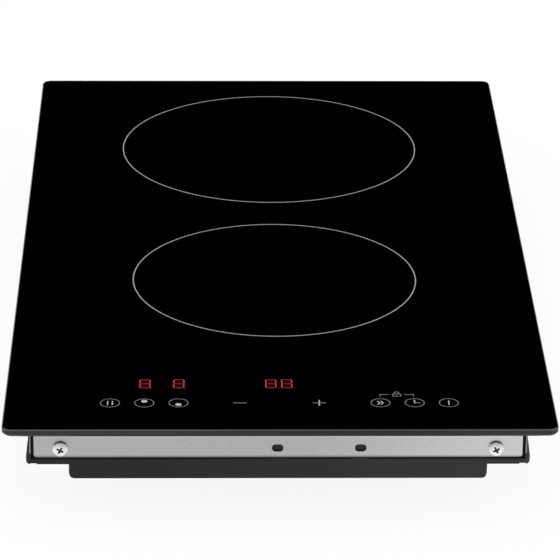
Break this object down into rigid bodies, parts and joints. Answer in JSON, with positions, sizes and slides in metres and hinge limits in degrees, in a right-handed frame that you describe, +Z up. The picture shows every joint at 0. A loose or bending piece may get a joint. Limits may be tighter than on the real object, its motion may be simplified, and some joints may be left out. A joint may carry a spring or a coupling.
{
  "type": "electric induction cooktop",
  "caption": "Narrow built-in induction cooktop with a black glass top, touch controls, steel fixing rails and a stepped plastic base tray.",
  "frame": {"origin": "under the middle of the glass, on the surface that the base tray stands on", "axes": "+Z up, +X to the right, the controls and the front face -Y"},
  "size_m": [0.288, 0.52, 0.0561],
  "materials": {
    "glass_ceramic": "polished black, opaque, with ground grey edges",
    "grey_enamel": "thin printed enamel",
    "display_red": "lit red segments",
    "foam_tape": "closed-cell foam",
    "silicone": "cured silicone",
    "galvanised_steel": "galvanised sheet",
    "zinc_steel": "bright zinc plate",
    "black_plastic": "moulded, fine grain",
    "aluminium_sheet": "rolled sheet",
    "cream_plastic": "glass-filled, heat resistant",
    "copper_wire": "enamelled copper litz",
    "ferrite": "sintered ferrite",
    "ceramic_fibre": "felted ceramic fibre",
    "spring_steel": "drawn spring wire",
    "sensor_cap": "silicone cap",
    "red_lead": "silicone lead insulation",
    "mains_insulation": "lead insulation",
    "ribbon_grey": "flat ribbon",
    "circuit_board": "solder-masked laminate",
    "component_black": "moulded epoxy",
    "component_yellow": "film capacitor case",
    "component_grey": "core and bobbin",
    "gold_spring": "plated spring wire",
    "tinned_metal": "tinned",
    "fuse_glass": "sand-filled ceramic fuse",
    "motor_grey": "laminated stator",
    "ivory_plastic": "terminal block"
  },
  "bodies": {
    "casing": {"glass_plate": "glass_ceramic", "zone_rings": "grey_enamel", "control_marks": "grey_enamel", "display_digits": "display_red", "glass_gasket": "foam_tape", "glass_bond": "silicone", "front_rail": "galvanised_steel", "rear_rail": "galvanised_steel", "rail_screws": "zinc_steel", "base_tray": "black_plastic", "coil_plate": "aluminium_sheet", "coil_plate_screws": "zinc_steel", "rear_coil_springs": "spring_steel", "rear_coil_leads": "red_lead", "front_coil_springs": "spring_steel", "front_coil_leads": "red_lead", "control_board": "circuit_board", "control_carrier": "black_plastic", "control_screws": "zinc_steel", "touch_springs": "gold_spring", "display_modules": "component_black", "control_ribbon": "ribbon_grey", "power_board": "circuit_board", "heatsink": "aluminium_sheet", "power_transistors": "component_black", "power_capacitors": "component_yellow", "supply_transformer": "component_grey", "lead_tabs": "tinned_metal", "filter_board": "circuit_board", "filter_choke": "copper_wire", "filter_capacitors": "component_yellow", "line_fuse": "fuse_glass", "board_screws": "zinc_steel", "fan_housing": "black_plastic", "fan_motor": "motor_grey", "fan_screws": "zinc_steel", "terminal_box": "black_plastic", "terminal_block": "ivory_plastic", "terminal_screws": "gold_spring", "door_pin": "spring_steel", "terminal_box_screws": "zinc_steel", "lead_grommet": "foam_tape", "mains_leads": "mains_insulation"},
    "impeller": {"fan_rotor": "component_black"},
    "terminal_door": {"terminal_door": "black_plastic"},
    "rear_coil": {"rear_coil_carrier": "cream_plastic", "rear_coil_winding": "copper_wire", "rear_coil_ferrites": "ferrite", "rear_coil_blanket": "ceramic_fibre", "rear_sensor_spring": "spring_steel"},
    "rear_sensor": {"rear_sensor": "sensor_cap"},
    "front_coil": {"front_coil_carrier": "cream_plastic", "front_coil_winding": "copper_wire", "front_coil_ferrites": "ferrite", "front_coil_blanket": "ceramic_fibre", "front_sensor_spring": "spring_steel"},
    "front_sensor": {"front_sensor": "sensor_cap"}
  },
  "joints": [
    {"name": "fan_spin", "type": "hinge", "parent": "casing", "child": "impeller", "pos_m": [-0.044, 0.056, 0.012], "axis": [0, 0, 1], "continuous": true},
    {"name": "terminal_door_hinge", "type": "hinge", "parent": "casing", "child": "terminal_door", "pos_m": [0.0362, 0.243, 0.0159], "axis": [0, 0, 1], "range_deg": [0, 105]},
    {"name": "rear_coil_float", "type": "slide", "parent": "casing", "child": "rear_coil", "axis": [0, 0, 1], "range_m": [-0.002, 0], "stiffness_N_per_m": 5000, "springref_m": 0.003, "deforming": ["rear_coil_springs"]},
    {"name": "rear_sensor_float", "type": "slide", "parent": "rear_coil", "child": "rear_sensor", "axis": [0, 0, 1], "range_m": [-0.0015, 0], "stiffness_N_per_m": 400, "springref_m": 0.002, "deforming": ["rear_sensor_spring"]},
    {"name": "front_coil_float", "type": "slide", "parent": "casing", "child": "front_coil", "axis": [0, 0, 1], "range_m": [-0.002, 0], "stiffness_N_per_m": 5000, "springref_m": 0.003, "deforming": ["front_coil_springs"]},
    {"name": "front_sensor_float", "type": "slide", "parent": "front_coil", "child": "front_sensor", "axis": [0, 0, 1], "range_m": [-0.0015, 0], "stiffness_N_per_m": 400, "springref_m": 0.002, "deforming": ["front_sensor_spring"]}
  ]
}
